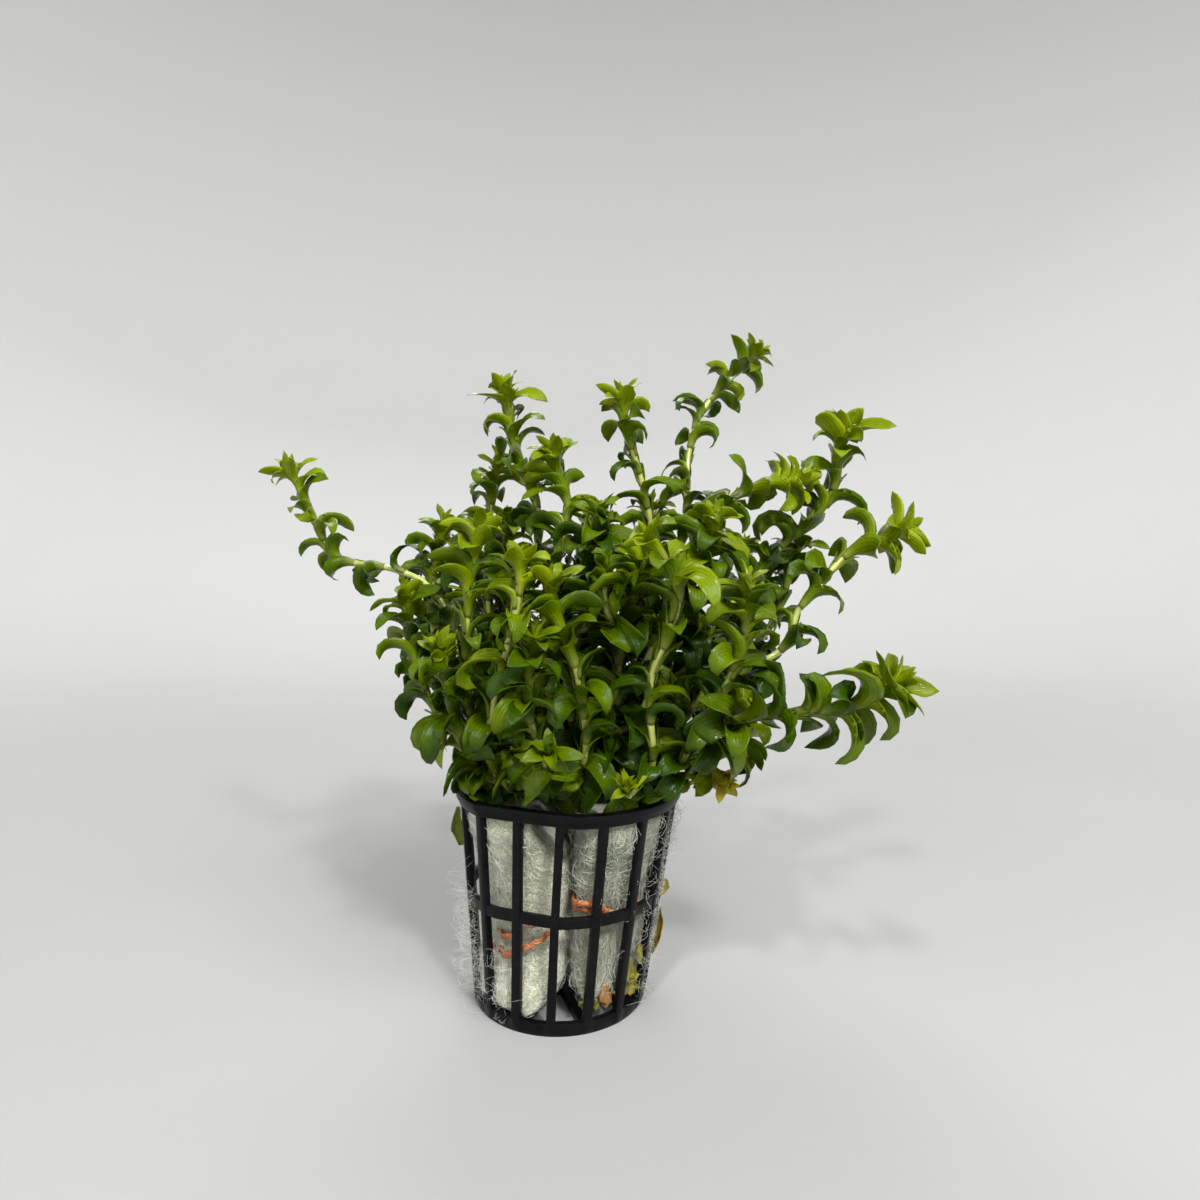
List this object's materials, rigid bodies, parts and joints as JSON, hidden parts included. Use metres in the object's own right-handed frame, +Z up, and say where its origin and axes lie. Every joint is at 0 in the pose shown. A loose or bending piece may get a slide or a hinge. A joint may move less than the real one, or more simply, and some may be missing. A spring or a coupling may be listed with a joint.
{
  "type": "tonina in a net pot",
  "caption": "Bunch of leafy aquarium stems with curled lance-shaped leaves, held by tied wool rolls in a black lattice pot that stands on its base ring.",
  "frame": {"origin": "centre of the pot's underside, on the flat hub of the base", "axes": "+Z up, -Y towards the front of the bunch, +X to its right"},
  "size_m": [0.1514, 0.0835, 0.1586],
  "materials": {
    "pot_plastic": "satin",
    "wool": "matte",
    "tie_band": "satin",
    "leafy_stem": "gloss",
    "old_leaf": "satin"
  },
  "bodies": {
    "root": {"net_pot": "pot_plastic", "wool_roll_left": "wool", "wool_roll_right": "wool", "tie_left": "tie_band", "tie_right": "tie_band", "stem_left_arm": "leafy_stem", "stem_crown_left": "leafy_stem", "stem_centre_top": "leafy_stem", "stem_far_right_top": "leafy_stem", "stem_right_top": "leafy_stem", "stem_right_tip": "leafy_stem", "stem_lower_right": "leafy_stem", "stem_right_shelf": "leafy_stem", "stem_dark_tip": "leafy_stem", "stem_middle_left_top": "leafy_stem", "stem_front_left": "leafy_stem", "stem_front_right": "leafy_stem", "stem_front_cross": "leafy_stem", "stem_front_middle": "leafy_stem", "stem_left_high": "leafy_stem", "stem_left_low": "leafy_stem", "stem_left_back": "leafy_stem", "stem_right_middle": "leafy_stem", "stem_right_low": "leafy_stem", "stem_middle": "leafy_stem", "stem_middle_left": "leafy_stem", "stem_middle_right": "leafy_stem", "stem_front_left_low": "leafy_stem", "stem_front_low": "leafy_stem", "stem_back_left": "leafy_stem", "stem_back_middle": "leafy_stem", "stem_back_right": "leafy_stem", "stem_back_far_right": "leafy_stem", "loose_leaf_olive": "old_leaf", "loose_leaf_yellow": "old_leaf", "loose_leaf_green": "old_leaf"}
  },
  "joints": []
}
